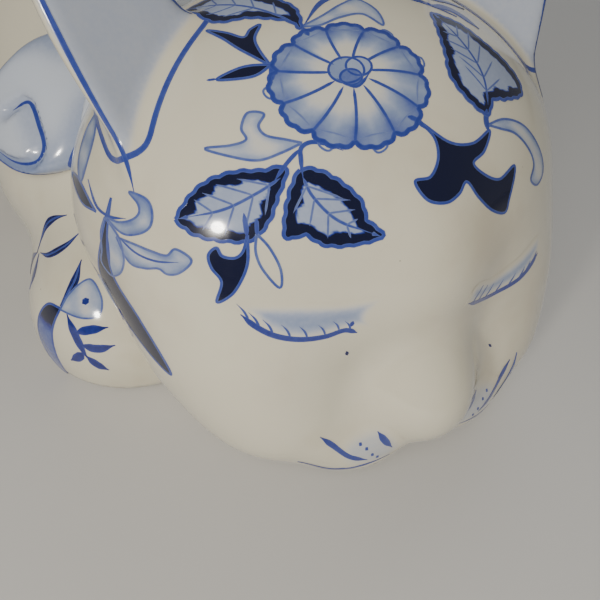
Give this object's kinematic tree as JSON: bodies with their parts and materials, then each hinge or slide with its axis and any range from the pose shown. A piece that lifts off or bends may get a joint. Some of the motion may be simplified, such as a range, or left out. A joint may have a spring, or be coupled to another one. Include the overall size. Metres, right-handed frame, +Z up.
{
  "type": "sleeping cat figurine",
  "caption": "Hollow slip-cast porcelain cat, asleep on its paws, with pricked ears, a curled tail and a ribbon tied in a bow, painted with blue flowers and leaves.",
  "frame": {"origin": "on the flat resting face, on the midline, under the chest", "axes": "+Z up from the resting face; the cat faces -Y, so +Y runs from the nose to the rump; +X is the cat's own left"},
  "size_m": [0.2313, 0.3691, 0.17],
  "materials": {
    "white_glaze": "clear gloss glaze over warm white porcelain, with hand-painted cobalt flowers and leaves",
    "blue_ribbon": "clear gloss glaze over a pale cobalt wash with a darker painted edge",
    "cobalt_paint": "cobalt brushwork under a clear gloss glaze",
    "bare_foot": "unglazed, matt and slightly gritty"
  },
  "bodies": {
    "root": {"body_shell": "white_glaze", "base_slab": "bare_foot", "head_shell": "white_glaze", "right_ear": "white_glaze", "left_ear": "white_glaze", "right_foreleg": "white_glaze", "left_foreleg": "white_glaze", "right_hind_paw": "white_glaze", "left_hind_paw": "white_glaze", "tail": "white_glaze", "neck_ribbon": "blue_ribbon", "bow_knot": "blue_ribbon", "bow_right_loop": "blue_ribbon", "bow_left_loop": "blue_ribbon", "ribbon_right_streamer": "blue_ribbon", "ribbon_left_streamer": "blue_ribbon"}
  },
  "joints": []
}
